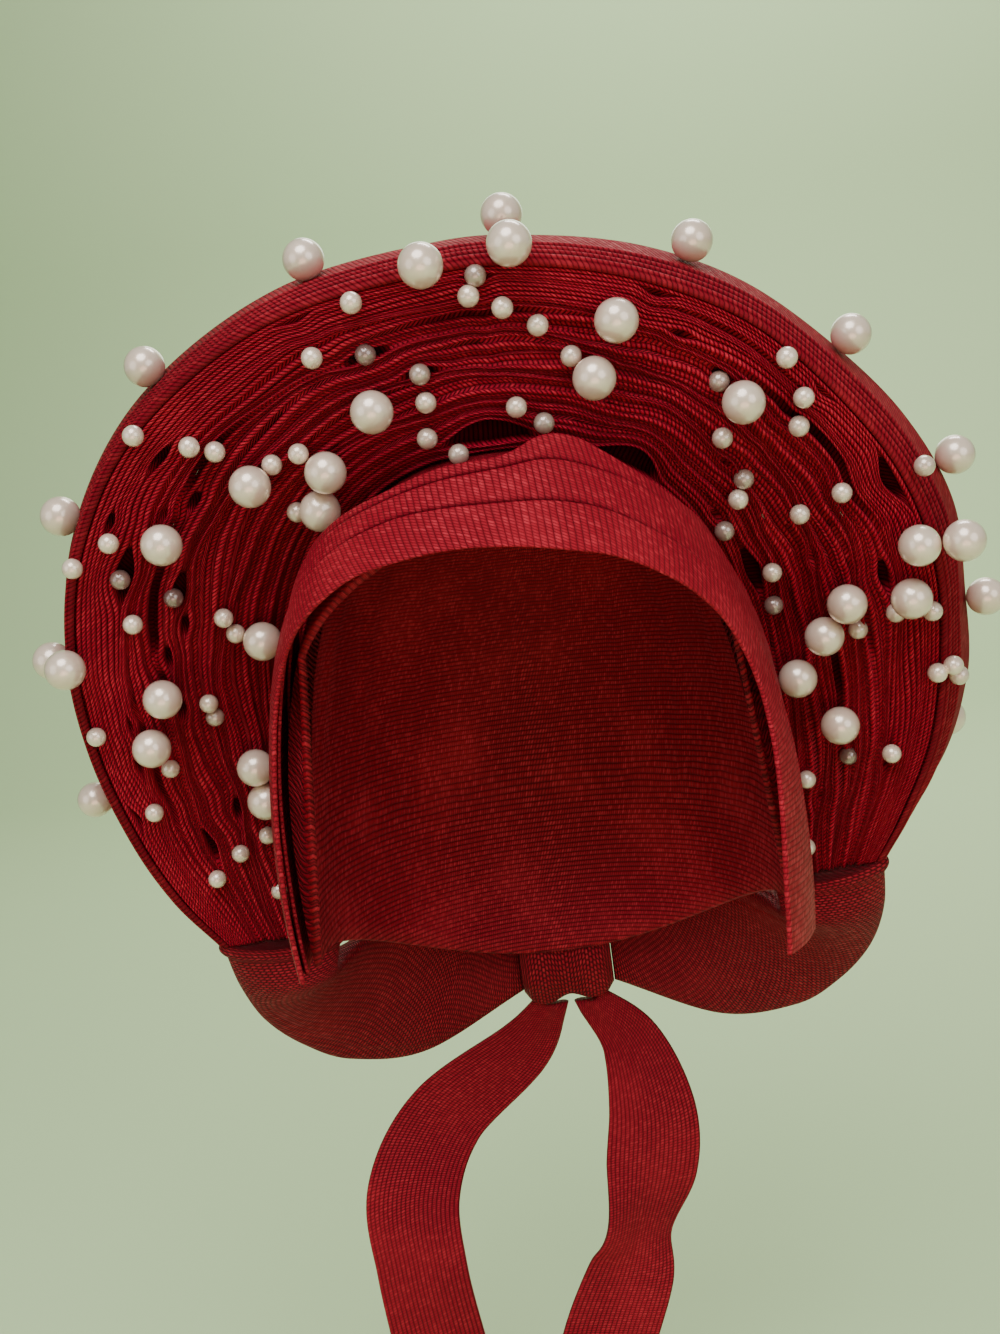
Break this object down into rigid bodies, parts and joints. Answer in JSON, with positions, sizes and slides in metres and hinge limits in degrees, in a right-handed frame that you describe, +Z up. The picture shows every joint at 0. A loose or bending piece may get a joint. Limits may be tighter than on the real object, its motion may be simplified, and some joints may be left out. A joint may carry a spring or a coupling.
{
  "type": "tied gele head tie",
  "caption": "Worn gele head tie of ribbed red cloth: folded brow band, fan of curved pleats dotted with pearls, wraps knotted at the nape and two hanging ties.",
  "frame": {"origin": "middle of the head opening at ear level, where the head tie sits on the head", "axes": "+Z up, -Y to the front, +X to the right as seen from the front"},
  "size_m": [0.3077, 0.1773, 0.4431],
  "materials": {
    "crown_cloth": "matte ribbed woven cloth",
    "band_cloth": "ribbed woven cloth with a soft sheen",
    "pleat_cloth": "pleated ribbed cloth",
    "strip_cloth": "ribbed woven cloth",
    "wrap_cloth": "coarse basket weave",
    "tie_cloth": "ribbed cloth with small glints",
    "pearl": "creamy pearl coat"
  },
  "bodies": {
    "root": {"crown_cap": "crown_cloth", "brow_band_lower_tier": "band_cloth", "brow_band_middle_tier": "band_cloth", "brow_band_upper_tier": "band_cloth", "inner_pleats": "pleat_cloth", "middle_pleats": "pleat_cloth", "outer_pleats": "pleat_cloth", "fan_outer_strip": "strip_cloth", "left_wrap": "wrap_cloth", "right_wrap": "wrap_cloth", "nape_knot": "wrap_cloth", "left_tie": "tie_cloth", "right_tie": "tie_cloth", "pearl_01": "pearl", "pearl_02": "pearl", "pearl_03": "pearl", "pearl_04": "pearl", "pearl_05": "pearl", "pearl_06": "pearl", "pearl_07": "pearl", "pearl_08": "pearl", "pearl_09": "pearl", "pearl_10": "pearl", "pearl_11": "pearl", "pearl_12": "pearl", "pearl_13": "pearl", "pearl_14": "pearl", "pearl_15": "pearl", "pearl_16": "pearl", "pearl_17": "pearl", "pearl_18": "pearl", "pearl_19": "pearl", "pearl_20": "pearl", "pearl_21": "pearl", "pearl_22": "pearl", "pearl_23": "pearl", "pearl_24": "pearl", "pearl_25": "pearl", "pearl_26": "pearl", "pearl_27": "pearl", "pearl_28": "pearl", "pearl_29": "pearl", "pearl_30": "pearl", "pearl_31": "pearl", "pearl_32": "pearl", "pearl_33": "pearl", "pearl_34": "pearl"}
  },
  "joints": []
}
